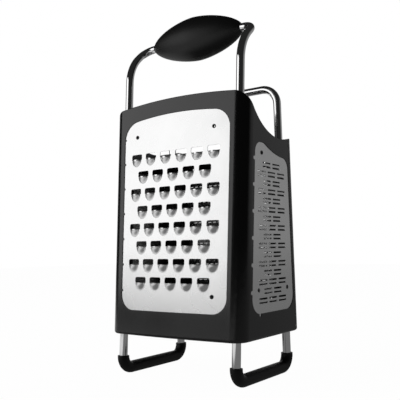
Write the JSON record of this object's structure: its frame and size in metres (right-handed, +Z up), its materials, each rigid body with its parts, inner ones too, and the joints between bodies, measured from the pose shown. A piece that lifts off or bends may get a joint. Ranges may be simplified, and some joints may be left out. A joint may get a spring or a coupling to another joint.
{
  "type": "box grater",
  "caption": "Four-sided box grater with steel blades in a tapered plastic body, a tube handle with a soft grip, tube feet and a back panel that slides up and off.",
  "frame": {"origin": "on the table, under the middle of the body", "axes": "+X to the right along the front wall, +Y from the front wall to the back panel, +Z up"},
  "size_m": [0.1396, 0.1032, 0.314],
  "materials": {
    "body_plastic": "satin moulded",
    "blade_steel": "fine satin",
    "bright_tube": "polished",
    "sleeve_rubber": "matt",
    "pin_steel": "turned",
    "core_plastic": "moulded",
    "grip_skin": "soft matt"
  },
  "bodies": {
    "frame": {"body_shell": "body_plastic", "front_blade": "blade_steel", "right_blade": "blade_steel", "left_blade": "blade_steel", "handle_rod": "bright_tube", "arch_rod": "bright_tube", "left_foot_tube": "bright_tube", "right_foot_tube": "bright_tube", "left_foot_sleeve": "sleeve_rubber", "right_foot_sleeve": "sleeve_rubber", "tube_joiners": "pin_steel", "grip_core_upper": "core_plastic", "grip_core_lower": "core_plastic", "grip_cover": "grip_skin"},
    "panel": {"back_panel": "body_plastic", "back_blade": "blade_steel"}
  },
  "joints": [
    {"name": "panel_slide", "type": "slide", "parent": "frame", "child": "panel", "axis": [0, -0.0513, 0.9987], "range_m": [0, 0.15]}
  ]
}
